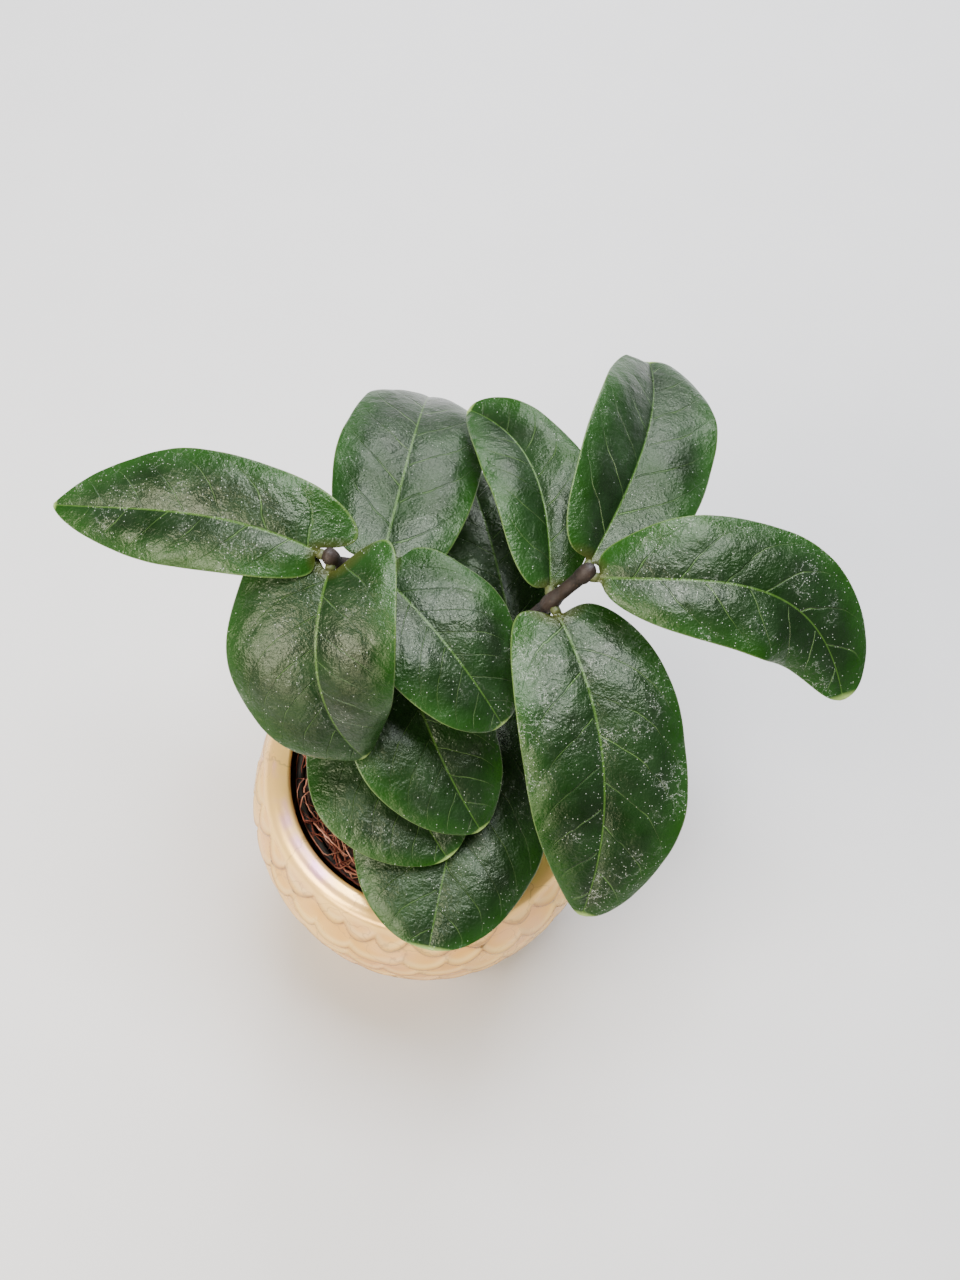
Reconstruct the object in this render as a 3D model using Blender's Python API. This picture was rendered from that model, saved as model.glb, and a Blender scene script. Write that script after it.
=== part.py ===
# A ZZ plant of two stems in a plastic nursery pot, standing in a glazed ceramic cover pot.
# Metres, +Z up. The origin is the centre of the cover pot's foot, on the surface it stands on.
# The front of the plant, where its largest leaves hang over the rim, faces -Y.

import bmesh
import bpy
import numpy as np
from math import cos, pi, radians, sin

MM = 0.001
GAP = 0.3 * MM                  # left between any two pieces that touch

# Cover pot
POT_HEIGHT = 110 * MM
RIM_RADIUS = 58.5 * MM          # outside of the rim
RIM_WIDTH = 10 * MM             # the flat-topped band around the mouth
SHOULDER = 6.5 * MM             # rounding from the rim's top into the side
BELLY_RADIUS = 63 * MM
BELLY_HEIGHT = 80 * MM
FOOT_RADIUS = 47 * MM
POT_WALL = 8 * MM
POT_FLOOR = 7 * MM
EDGE_ROUND = 1.5 * MM           # at the foot and at the mouth
FLOOR_ROUND = 3 * MM            # where the wall meets the floor inside
POT_SIDES = 48

# Nursery pot
MOUTH_CLEARANCE = 2.0 * MM      # all round, between its lip and the cover pot's mouth
NURSERY_DROP = 5 * MM           # its lip lies this far below the cover pot's rim
NURSERY_TAPER = 11 * MM         # how much its base radius is under its top radius
NURSERY_WALL = 1.2 * MM
LIP_HEIGHT = 7 * MM
LIP_PROUD = 1.2 * MM
DRAIN_HOLES = 6
DRAIN_RADIUS = 4 * MM
DRAIN_CIRCLE = 21 * MM
NURSERY_SIDES = 48

# Potting mix
MIX_DROP = 3.5 * MM             # its surface lies this far below the nursery pot's lip
MIX_CROWN = 1.5 * MM            # how much higher it is in the middle
STRAND_RADIUS = 0.4 * MM

# Stems: x and y in millimetres, and height as a share of STEM_HEIGHT above their foot
STEM_HEIGHT = 105 * MM
STEM_SUNK = 4.5 * MM            # how far below the mix's surface a stem's foot is
STEM_DEPTH = 25 * MM            # how far a stem goes down into the mix
STEM_RADIUS = 2.9 * MM
STEM_TIP_RADIUS = 2.3 * MM
STEMS = {
    "left_stem": [(-14, 20, 0.00), (-14, 22, 0.14), (-14, 26, 0.38), (-15, 33, 0.65),
                  (-19, 38, 0.80), (-26, 37, 0.87), (-33, 34, 0.94), (-35, 33, 1.00)],
    "right_stem": [(17, 21, 0.00), (18, 23, 0.13), (21, 28, 0.38), (26, 32, 0.65),
                   (34, 34, 0.83), (44, 38, 0.99)],
}

# Leaves
LEAF_THICKNESS = 0.9 * MM
PETIOLE_WIDTH = 2.6 * MM
PETIOLE_THICKNESS = 2.4 * MM
PETIOLE_REST = 0.9 * MM         # from the stem's surface to the middle of the petiole's end
PETIOLE_SHARE = 0.05            # of the leaf's length
TIP_WIDTH = 3.0 * MM            # the small hard point at the end of the midrib
TIP_SHARE = 0.12                # of the leaf's length, over which it flattens towards the tip
LEAF_ROWS = 14
LEAF_COLUMNS = 4                # on each side of the midrib

# One leaf each, from the mix upwards. Lengths are millimetres and angles are degrees.
# Pairs are (left, right) seen from the stem with the glossy face up, but arch and sway,
# which bend the midrib up and to the right, are (near the stem, near the tip).
#   at      place on the stem, as a share of STEM_HEIGHT
#   reach   from the stem's centre line to the leaf's tip
#   face    where the glossy face looks
#   half    width from the midrib to each margin
#   fold    how far each half is lifted from flat beside the midrib
#   cup     how far each half then turns down towards its margin
#   wide    under 1 is widest near the stem, over 1 near the tip
#   blunt   small is round at the tip, large is pointed
#   lobe    how far each half reaches back past the petiole, as a share of its width
PLAIN_LEAF = dict(arch=(10, 10), sway=(0, 0), fold=(12, 12), cup=(30, 30),
                  wide=0.9, blunt=(0.5, 0.5), lobe=(0.2, 0.2))
LEAVES = {
    "left_leaf_1": dict(stem="left_stem", at=0.35, reach=(24, -62, -4), face=(0, -0.2, 1),
                        half=(26, 31), arch=(8, 8), sway=(12, 8), blunt=(0.5, 0.6)),
    "left_leaf_2": dict(stem="left_stem", at=0.54, reach=(34, -58, -17), face=(0.1, -0.2, 1),
                        half=(22, 26), sway=(5, 5), blunt=(0.5, 0.65)),
    "left_leaf_3": dict(stem="left_stem", at=0.82, reach=(43, -41, -15), face=(0.2, -0.2, 1),
                        half=(24, 21), lobe=(0.35, 0.3)),
    "left_leaf_4": dict(stem="left_stem", at=0.82, reach=(6, 93, -42), face=(0.05, -0.1, 1),
                        half=(24, 25), arch=(20, 26), wide=0.8, lobe=(0.2, 0.35)),
    "left_leaf_5": dict(stem="left_stem", at=0.97, reach=(15, -48, -41), face=(-0.25, -0.4, 1),
                        half=(26, 30), arch=(16, 18), sway=(8, 8), fold=(20, 12), cup=(35, 35),
                        wide=0.75, blunt=(0.6, 0.8), lobe=(0.58, 0.4)),
    "left_leaf_6": dict(stem="left_stem", at=0.985, reach=(-90, 14, -12), face=(0.05, -0.3, 1),
                        half=(17, 21), arch=(12, 6), sway=(8, 2), blunt=(0.7, 0.85),
                        lobe=(0.1, 0.65)),
    "right_leaf_1": dict(stem="right_stem", at=0.30, reach=(-13, -91, -10), face=(0, -0.1, 1),
                         half=(31, 34), arch=(3, 5), fold=(10, 10), cup=(40, 30),
                         sway=(2, 2), wide=1.15, blunt=(0.48, 0.48)),
    "right_leaf_2": dict(stem="right_stem", at=0.57, reach=(-22, 66, -7), face=(0.1, -0.2, 1),
                         half=(22, 22)),
    "right_leaf_3": dict(stem="right_stem", at=0.83, reach=(-33, 70, -5), face=(0.1, -0.3, 1),
                         half=(18, 17), sway=(10, 16), fold=(35, 15), blunt=(0.6, 0.5),
                         lobe=(0.2, 0.0)),
    "right_leaf_4": dict(stem="right_stem", at=0.83, reach=(20, -87, -45), face=(0.1, -0.2, 1),
                         half=(28, 25), arch=(18, 18), sway=(-11, -11), blunt=(0.55, 0.65),
                         lobe=(0.2, 0.5)),
    "right_leaf_5": dict(stem="right_stem", at=0.97, reach=(18, 94, -21), face=(0, -0.2, 1),
                         half=(22, 24), arch=(12, 12), sway=(7, 9), fold=(45, 10),
                         blunt=(0.4, 0.5)),
    "right_leaf_6": dict(stem="right_stem", at=0.97, reach=(85, -23, -23), face=(0.1, -0.25, 1),
                         half=(22, 20), arch=(18, 17), sway=(-8, -33), wide=1.05, lobe=(0.3, 0.0)),
}

# Loose coir strands on the mix: each end as (distance from the axis in mm, bearing in degrees
# from +X), and how high the middle stands over the mix in mm
STRANDS = {
    "coir_strand_1": ((41, 178), (38, 208), 1.5),
    "coir_strand_2": ((36, 196), (41, 232), 3.0),
    "coir_strand_3": ((41, 212), (33, 226), 0.5),
    "coir_strand_4": ((37, 236), (41, 262), 2.0),
    "coir_strand_5": ((33, 176), (30, 200), 1.0),
}

# Heights that follow from the sizes above
NURSERY_TOP = POT_HEIGHT - NURSERY_DROP
NURSERY_BASE = POT_FLOOR + GAP
MIX_TOP = NURSERY_TOP - MIX_DROP
STEM_FOOT = MIX_TOP - STEM_SUNK
MOUTH_RADIUS = RIM_RADIUS - RIM_WIDTH
LIP_RADIUS = MOUTH_RADIUS - MOUTH_CLEARANCE


def material(name, colour, roughness, metallic=0.0):
    finish = bpy.data.materials.new(name)
    finish.use_nodes = True
    shader = finish.node_tree.nodes["Principled BSDF"]
    shader.inputs["Base Color"].default_value = (*colour, 1)
    shader.inputs["Roughness"].default_value = roughness
    shader.inputs["Metallic"].default_value = metallic
    finish.diffuse_color = (*colour, 1)
    return finish


def add_object(name, data, finish=None):
    if finish:
        data.materials.append(finish)
    piece = bpy.data.objects.new(name, data)
    bpy.context.scene.collection.objects.link(piece)
    return piece


def add_mesh(name, bm, finish=None, crease=40):
    """Put a bmesh into the scene as a smooth-shaded object."""
    bmesh.ops.recalc_face_normals(bm, faces=bm.faces)
    mesh = bpy.data.meshes.new(name)
    bm.to_mesh(mesh)
    bm.free()
    mesh.shade_smooth()
    mesh.set_sharp_from_angle(angle=radians(crease))
    return add_object(name, mesh, finish)


def arc(centre, radii, start, end, steps):
    """Points on an ellipse's arc in the (radius, height) plane, both ends included."""
    angles = [radians(start + (end - start) * i / steps) for i in range(steps + 1)]
    return [(centre[0] + radii[0] * cos(a), centre[1] + radii[1] * sin(a)) for a in angles]


def turned(profile, sides):
    """Turn a profile that starts and ends on the Z axis into one closed body."""
    bm = bmesh.new()
    points = [bm.verts.new((radius, 0, height)) for radius, height in profile]
    edges = [bm.edges.new(pair) for pair in zip(points, points[1:])]
    bmesh.ops.spin(bm, geom=points + edges, axis=(0, 0, 1), cent=(0, 0, 0),
                   angle=2 * pi, steps=sides, use_merge=True)
    bmesh.ops.remove_doubles(bm, verts=bm.verts, dist=0.01 * MM)
    return bm


def outer_radius(height):
    """The cover pot's outside: round from foot to belly, then drawn in a little to the rim."""
    if height < BELLY_HEIGHT:
        return FOOT_RADIUS + (BELLY_RADIUS - FOOT_RADIUS) * sin(pi / 2 * height / BELLY_HEIGHT)
    share = (height - BELLY_HEIGHT) / (POT_HEIGHT - SHOULDER - BELLY_HEIGHT)
    return RIM_RADIUS + (BELLY_RADIUS - RIM_RADIUS) * cos(pi / 2 * share)


def cover_pot(finish):
    shoulder_height = POT_HEIGHT - SHOULDER
    inner_top = POT_HEIGHT - 2 * SHOULDER
    side = np.linspace(EDGE_ROUND, shoulder_height, 11)
    inside = np.linspace(inner_top, POT_FLOOR + FLOOR_ROUND, 7)
    profile = [(0, 0), (FOOT_RADIUS - 2 * EDGE_ROUND, 0), (FOOT_RADIUS - EDGE_ROUND, 0)]
    profile += [(outer_radius(h), h) for h in side]
    profile += arc((RIM_RADIUS - SHOULDER, shoulder_height), (SHOULDER, SHOULDER), 15, 90, 5)
    profile += arc((MOUTH_RADIUS + EDGE_ROUND, POT_HEIGHT - EDGE_ROUND),
                   (EDGE_ROUND, EDGE_ROUND), 90, 180, 3)
    profile += [(outer_radius(h) - POT_WALL, h) for h in inside]
    floor_radius = outer_radius(POT_FLOOR + FLOOR_ROUND) - POT_WALL
    profile += [(floor_radius - FLOOR_ROUND, POT_FLOOR), (0, POT_FLOOR)]
    return add_mesh("ceramic_pot", turned(profile, POT_SIDES), finish)


def nursery_radius(height):
    """The nursery pot's outside below its lip, tapering to its base."""
    top = LIP_RADIUS - LIP_PROUD
    return top - NURSERY_TAPER * (NURSERY_TOP - height) / (NURSERY_TOP - NURSERY_BASE)


def nursery_pot(finish):
    lip_foot = NURSERY_TOP - LIP_HEIGHT
    floor_top = NURSERY_BASE + NURSERY_WALL
    profile = [(0, NURSERY_BASE), (nursery_radius(NURSERY_BASE), NURSERY_BASE),
               (nursery_radius(lip_foot), lip_foot), (LIP_RADIUS, lip_foot + LIP_PROUD)]
    profile += arc((LIP_RADIUS - NURSERY_WALL, NURSERY_TOP - NURSERY_WALL),
                   (NURSERY_WALL, NURSERY_WALL), 0, 180, 6)
    profile += [(nursery_radius(lip_foot) - NURSERY_WALL, lip_foot),
                (nursery_radius(floor_top) - NURSERY_WALL, floor_top), (0, floor_top)]
    pot = add_mesh("nursery_pot", turned(profile, NURSERY_SIDES), finish)
    for i in range(DRAIN_HOLES):
        bearing = 2 * pi * i / DRAIN_HOLES
        bpy.ops.mesh.primitive_cylinder_add(
            vertices=16, radius=DRAIN_RADIUS, depth=4 * NURSERY_WALL,
            location=(DRAIN_CIRCLE * cos(bearing), DRAIN_CIRCLE * sin(bearing), NURSERY_BASE))
        cut(pot, bpy.context.object, "drain_hole")
    return pot


def cut(piece, cutter, name):
    cutter.name = name + "_cutter"
    cutter.hide_render = True
    cutter.display_type = "WIRE"
    hole = piece.modifiers.new(name, "BOOLEAN")
    hole.operation = "DIFFERENCE"
    hole.solver = "EXACT"
    hole.object = cutter


def mix_surface(radius):
    """Height of the potting mix at a distance from the axis."""
    return MIX_TOP + MIX_CROWN * cos(min(1, radius / mix_radius(MIX_TOP)) * pi / 2)


def mix_radius(height):
    return nursery_radius(height) - NURSERY_WALL - GAP


def potting_mix(finish, stem_cutters):
    base = NURSERY_BASE + NURSERY_WALL + GAP
    top_edge = mix_radius(MIX_TOP)
    profile = [(0, base), (mix_radius(base) - 2 * MM, base), (mix_radius(base + 2 * MM), base + 2 * MM)]
    profile += [(top_edge * share, mix_surface(top_edge * share)) for share in (1, 0.85, 0.65, 0.4)]
    profile += [(0, mix_surface(0))]
    mix = add_mesh("potting_mix", turned(profile, NURSERY_SIDES), finish, crease=30)
    for cutter in stem_cutters:
        cut(mix, cutter, "stem_hole")
    return mix


def smooth_line(points, steps):
    """A curve that passes through every point, with equal numbers of steps between them."""
    points = np.array(points, float)
    ends = (2 * points[0] - points[1], 2 * points[-1] - points[-2])
    padded = np.vstack([ends[0], points, ends[1]])
    line = []
    for before, start, end, after in zip(padded, padded[1:], padded[2:], padded[3:]):
        for t in np.arange(steps) / steps:
            line.append(start + 0.5 * t * (end - before)
                        + t * t * (before - 2.5 * start + 2 * end - 0.5 * after)
                        + t ** 3 * 0.5 * (after - before + 3 * (start - end)))
    line.append(points[-1])
    return np.array(line)


def stem_line(stem):
    """Centre line of a stem in metres, from its hidden end in the mix to its last leaves."""
    route = [(x * MM, y * MM, STEM_FOOT + share * STEM_HEIGHT) for x, y, share in STEMS[stem]]
    buried = (route[0][0], route[0][1] - 2 * MM, MIX_TOP - STEM_DEPTH)
    return smooth_line([buried] + route, 4)


def stem_radius(height):
    share = min(1, max(0, (height - STEM_FOOT) / STEM_HEIGHT))
    return STEM_RADIUS + (STEM_TIP_RADIUS - STEM_RADIUS) * share


def tube(name, line, radii, finish=None, resolution=2):
    curve = bpy.data.curves.new(name, "CURVE")
    curve.dimensions = "3D"
    curve.bevel_depth = 1
    curve.bevel_resolution = resolution
    curve.use_fill_caps = True
    spline = curve.splines.new("POLY")
    spline.points.add(len(line) - 1)
    for point, place, radius in zip(spline.points, line, radii):
        point.co = (*place, 1)
        point.radius = radius
    return add_object(name, curve, finish)


def unit(vector):
    vector = np.asarray(vector, float)
    return vector / np.linalg.norm(vector, axis=-1, keepdims=True)


def leaf_root(leaf):
    """The stem's centre, direction and radius where a leaf leaves it."""
    line = stem_line(leaf["stem"])
    height = STEM_FOOT + leaf["at"] * STEM_HEIGHT
    i = int(np.argmax(line[:, 2] >= height))
    share = (height - line[i - 1, 2]) / (line[i, 2] - line[i - 1, 2])
    centre = line[i - 1] + share * (line[i] - line[i - 1])
    return centre, unit(line[i] - line[i - 1]), stem_radius(height)


def leaf_midrib(leaf, shares):
    """Points, directions, and the directions across and out of the blade, along the midrib."""
    centre, along, radius = leaf_root(leaf)
    reach = np.array(leaf["reach"]) * MM
    outward = unit(reach - (reach @ along) * along)
    start = centre + outward * (radius + PETIOLE_REST)
    tip = centre + reach
    face = unit(leaf["face"])
    chord = tip - start
    up = unit(face - (face @ unit(chord)) * unit(chord))
    right = np.cross(unit(chord), up)
    first, second = [start + chord * share + (arch * up + sway * right) * MM
                     for share, arch, sway in zip((1 / 3, 2 / 3), leaf["arch"], leaf["sway"])]
    t = shares[:, None]
    points = ((1 - t) ** 3 * start + 3 * (1 - t) ** 2 * t * first
              + 3 * (1 - t) * t ** 2 * second + t ** 3 * tip)
    ahead = unit((1 - t) ** 2 * (first - start) + 2 * (1 - t) * t * (second - first)
                 + t ** 2 * (tip - second))
    out = unit(face - (ahead @ face)[:, None] * ahead)
    return points, ahead, np.cross(ahead, out), out


def leaf_rows(leaf):
    """Middle surface of a leaf and the way its glossy face looks: rows from petiole to tip."""
    steps = np.linspace(0, 1, LEAF_ROWS)
    shares = 0.6 * steps + 0.4 * (0.5 - 0.5 * np.cos(pi * steps))
    midrib, ahead, across, out = leaf_midrib(leaf, shares)
    blade = np.clip((shares - PETIOLE_SHARE) / (1 - PETIOLE_SHARE), 0, 1)
    narrowest = 0.5 * np.where(shares < 0.5, PETIOLE_WIDTH, TIP_WIDTH)
    bent = np.minimum(1, (1 - shares) / TIP_SHARE)[:, None]
    places, looks = [midrib], [out]
    for k, hand in enumerate((-1, 1)):
        half = leaf["half"][k] * MM
        power = 0.45 + (leaf["blunt"][k] - 0.45) * blade
        swell = np.sin(pi * blade ** leaf["wide"]).clip(0, 1) ** power
        step = np.maximum(swell * half, narrowest)[:, None] / LEAF_COLUMNS
        back = (leaf["lobe"][k] * 2 * half * np.minimum(1, 1.2 * swell) * (1 - shares) ** 3)[:, None]
        line = midrib
        for column in range(1, LEAF_COLUMNS + 1):
            outwards = column / LEAF_COLUMNS
            slope = bent * radians(leaf["fold"][k] - leaf["cup"][k] * (outwards - 0.5 / LEAF_COLUMNS))
            turn = bent * radians(leaf["fold"][k] - leaf["cup"][k] * outwards)
            line = line + step * (np.cos(slope) * hand * across + np.sin(slope) * out)
            place = line - ahead * back * outwards ** 2
            look = np.cos(turn) * out - np.sin(turn) * hand * across
            places.insert(0 if hand < 0 else len(places), place)
            looks.insert(0 if hand < 0 else len(looks), look)
    return np.stack(places, axis=1), np.stack(looks, axis=1)


def skin(bm, rows):
    """One sheet of quads over a grid of places; returns its rows of vertices."""
    grid = [[bm.verts.new(place) for place in row] for row in rows]
    for near, far in zip(grid, grid[1:]):
        for corners in zip(near, near[1:], far[1:], far):
            bm.faces.new(corners)
    return grid


def leaf_body(name, leaf, finish):
    """One closed body: the glossy face, the underside with its thick midrib, and the margin."""
    rows, looks = leaf_rows(PLAIN_LEAF | leaf)
    from_midrib = np.linalg.norm(rows - rows[:, LEAF_COLUMNS][:, None], axis=-1)
    fade = np.linspace(1, 0.2, LEAF_ROWS)[:, None]
    rib = (PETIOLE_THICKNESS - LEAF_THICKNESS) * fade * np.exp(-(from_midrib / PETIOLE_WIDTH) ** 2)
    bm = bmesh.new()
    face = skin(bm, rows + looks * LEAF_THICKNESS / 2)
    under = skin(bm, rows - looks * (LEAF_THICKNESS / 2 + rib)[..., None])
    for sheet_edge, under_edge in zip(border(face), border(under)):
        bm.faces.new((*sheet_edge, *reversed(under_edge)))
    return add_mesh(name, bm, finish, crease=60)


def border(grid):
    """The edges around a sheet, as pairs of neighbouring vertices."""
    loop = grid[0] + [row[-1] for row in grid[1:-1]] + grid[-1][::-1] + [row[0] for row in grid[-2:0:-1]]
    return list(zip(loop, loop[1:] + loop[:1]))


def stem(name, finish):
    line = stem_line(name)
    bud = line[-1] + unit(line[-1] - line[-2]) * STEM_TIP_RADIUS
    radii = [stem_radius(height) for height in line[:, 2]] + [STEM_TIP_RADIUS / 2]
    return tube(name, np.vstack([line, bud]), radii, finish)


def stem_cutter(name):
    """What a stem needs clear in the potting mix around its buried end, as a closed mesh."""
    line = stem_line(name)
    line = line[line[:, 2] < MIX_TOP + 4 * STEM_RADIUS]
    line[0, 2] -= GAP
    clear = tube(name + "_room", line, [STEM_RADIUS + GAP] * len(line))
    bm = bmesh.new()
    bm.from_mesh(clear.to_mesh())
    bmesh.ops.remove_doubles(bm, verts=bm.verts, dist=0.01 * MM)
    bpy.data.objects.remove(clear)
    return add_mesh(name + "_cutter", bm)


def strand(name, start, end, lift, finish):
    """A coir strand that lies on the mix at its ends and bows up between them."""
    line = []
    for t in np.linspace(0, 1, 9):
        radius, bearing = [(a + (b - a) * t) for a, b in zip(start, end)]
        radius *= MM
        height = mix_surface(radius) + STRAND_RADIUS + GAP + lift * MM * sin(pi * t)
        line.append((radius * cos(radians(bearing)), radius * sin(radians(bearing)), height))
    return tube(name, line, [STRAND_RADIUS] * len(line), finish, resolution=1)


def main():
    for old in list(bpy.data.objects):
        bpy.data.objects.remove(old)

    glaze = material("cream_glazed_ceramic", (0.78, 0.66, 0.48), 0.25)
    plastic = material("dark_plastic", (0.02, 0.02, 0.02), 0.5)
    mix = material("brown_potting_mix", (0.07, 0.035, 0.02), 0.95)
    bark = material("brown_stem", (0.10, 0.05, 0.03), 0.55)
    coir = material("tan_coir", (0.33, 0.17, 0.10), 0.85)
    leaf_green = material("glossy_dark_green_leaf", (0.02, 0.075, 0.018), 0.3)

    cover_pot(glaze)
    nursery_pot(plastic)
    for name in STEMS:
        stem(name, bark)
    potting_mix(mix, [stem_cutter(name) for name in STEMS])
    for name, (start, end, lift) in STRANDS.items():
        strand(name, start, end, lift, coir)
    for name, leaf in LEAVES.items():
        leaf_body(name, leaf, leaf_green)


main()
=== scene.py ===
import random
from math import cos, pi, radians, sin

import bpy
import numpy as np
from mathutils import Matrix, Vector, noise


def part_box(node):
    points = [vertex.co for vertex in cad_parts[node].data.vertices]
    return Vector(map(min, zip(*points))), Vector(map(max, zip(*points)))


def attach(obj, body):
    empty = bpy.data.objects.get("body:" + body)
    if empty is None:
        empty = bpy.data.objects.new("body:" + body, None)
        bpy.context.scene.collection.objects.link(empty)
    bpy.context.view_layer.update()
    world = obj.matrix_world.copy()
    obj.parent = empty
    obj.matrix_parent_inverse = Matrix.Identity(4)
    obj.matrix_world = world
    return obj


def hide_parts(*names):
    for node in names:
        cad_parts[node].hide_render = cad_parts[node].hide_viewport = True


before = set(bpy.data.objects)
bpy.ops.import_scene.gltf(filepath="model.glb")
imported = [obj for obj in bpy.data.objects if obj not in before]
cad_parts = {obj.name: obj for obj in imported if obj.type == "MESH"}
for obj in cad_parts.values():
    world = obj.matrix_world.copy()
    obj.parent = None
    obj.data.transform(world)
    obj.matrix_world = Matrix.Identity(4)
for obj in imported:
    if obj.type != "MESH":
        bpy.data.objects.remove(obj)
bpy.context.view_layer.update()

mm = 0.001
random.seed(12)


# Small helpers

def hexColour(code, alpha=1.0):
    # sRGB hex to the linear values that shaders take
    values = [int(code[i:i + 2], 16) / 255 for i in (1, 3, 5)]
    return (*[v / 12.92 if v <= 0.04045 else ((v + 0.055) / 1.055) ** 2.4 for v in values], alpha)


def setInputs(tree, node, inputs):
    # each input is a value, or the socket to link from
    for socket, value in inputs.items():
        if isinstance(value, bpy.types.NodeSocket):
            tree.links.new(value, node.inputs[socket])
        else:
            node.inputs[socket].default_value = value


def addNode(tree, kind, inputs=None, stops=(), **settings):
    # stops are the places and sRGB colours of a colour ramp
    made = tree.nodes.new("ShaderNode" + kind)
    for name, value in settings.items():
        setattr(made, name, value)
    setInputs(tree, made, inputs or {})
    for element, (position, code) in zip(made.color_ramp.elements if stops else (), stops):
        element.position = position
        element.color = hexColour(code)
    return made


def newMaterial(name):
    made = bpy.data.materials.new(name)
    made.use_nodes = True
    tree = made.node_tree
    place = addNode(tree, "TexCoord").outputs["Object"]
    return made, tree, tree.nodes["Principled BSDF"], place


def unit(vector):
    vector = np.asarray(vector, float)
    return vector / np.linalg.norm(vector, axis=-1, keepdims=True)


def deselectAll():
    bpy.ops.object.select_all(action="DESELECT")


def activate(piece):
    deselectAll()
    piece.select_set(True)
    bpy.context.view_layer.objects.active = piece


def applyModifiers(piece):
    activate(piece)
    for modifier in list(piece.modifiers):
        bpy.ops.object.modifier_apply(modifier=modifier.name)


def setPlaces(mesh, places):
    mesh.vertices.foreach_set("co", np.asarray(places, np.float32).ravel())
    mesh.update()


def getPlaces(mesh):
    places = np.empty(len(mesh.vertices) * 3, np.float32)
    mesh.vertices.foreach_get("co", places)
    return places.reshape(-1, 3).astype(float)


def addAttribute(mesh, name, values):
    made = mesh.attributes.new(name, "FLOAT", "POINT")
    made.data.foreach_set("value", np.asarray(values, np.float32).ravel())


def noiseAt(places, scale, seed=0.0):
    # Perlin noise, about -1 to 1, at every place; scale in metres
    return np.array([noise.noise(Vector(place) / scale + Vector((seed, 2 * seed, 0)))
                     for place in places])


def finishPiece(piece, material, nodes=()):
    if not piece.data.materials:
        piece.data.materials.append(material)
    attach(piece, "root")
    if nodes:
        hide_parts(*nodes)
    return piece


def spinProfile(name, profile, steps):
    # a ring of points laid on the profile, opened at the axis and spun round it
    deselectAll()
    bpy.ops.mesh.primitive_circle_add(vertices=len(profile), radius=0.05)
    piece = bpy.context.object
    piece.name = name
    setPlaces(piece.data, [(radius, 0, height) for radius, height in profile])
    last = len(profile) - 1
    bpy.ops.object.mode_set(mode="EDIT")
    bpy.ops.mesh.select_all(action="DESELECT")
    bpy.ops.mesh.select_mode(type="EDGE")
    bpy.ops.object.mode_set(mode="OBJECT")
    for edge in piece.data.edges:
        edge.select = set(edge.vertices) == {0, last}
    bpy.ops.object.mode_set(mode="EDIT")
    bpy.ops.mesh.delete(type="EDGE")
    bpy.ops.mesh.select_mode(type="VERT")
    bpy.ops.mesh.select_all(action="SELECT")
    bpy.ops.mesh.spin(steps=steps, angle=2 * pi, center=(0, 0, 0), axis=(0, 0, 1))
    bpy.ops.mesh.select_all(action="SELECT")
    bpy.ops.mesh.remove_doubles(threshold=0.01 * mm)
    bpy.ops.mesh.normals_make_consistent(inside=False)
    bpy.ops.object.mode_set(mode="OBJECT")
    bpy.ops.object.shade_smooth()
    return piece


def arcPoints(centre, radius, start, end, count):
    angles = np.radians(np.linspace(start, end, count))
    return [(centre[0] + radius * cos(a), centre[1] + radius * sin(a)) for a in angles]


def strandMesh(name, lines, thickness, material, bevelSteps=0):
    # many thin strands in one mesh, each on its own line of places
    curve = bpy.data.curves.new(name, "CURVE")
    curve.dimensions = "3D"
    curve.bevel_depth = thickness / 2
    curve.bevel_resolution = bevelSteps
    curve.use_fill_caps = True
    for line, radii in lines:
        spline = curve.splines.new("POLY")
        spline.points.add(len(line) - 1)
        spline.points.foreach_set("co", np.c_[line, np.ones(len(line))].astype(np.float32).ravel())
        spline.points.foreach_set("radius", np.asarray(radii, np.float32))
    piece = bpy.data.objects.new(name, curve)
    bpy.context.scene.collection.objects.link(piece)
    piece.data.materials.append(material)
    activate(piece)
    bpy.ops.object.convert(target="MESH")
    piece = bpy.context.object
    bpy.ops.object.shade_smooth()
    return piece


# Materials

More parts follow.
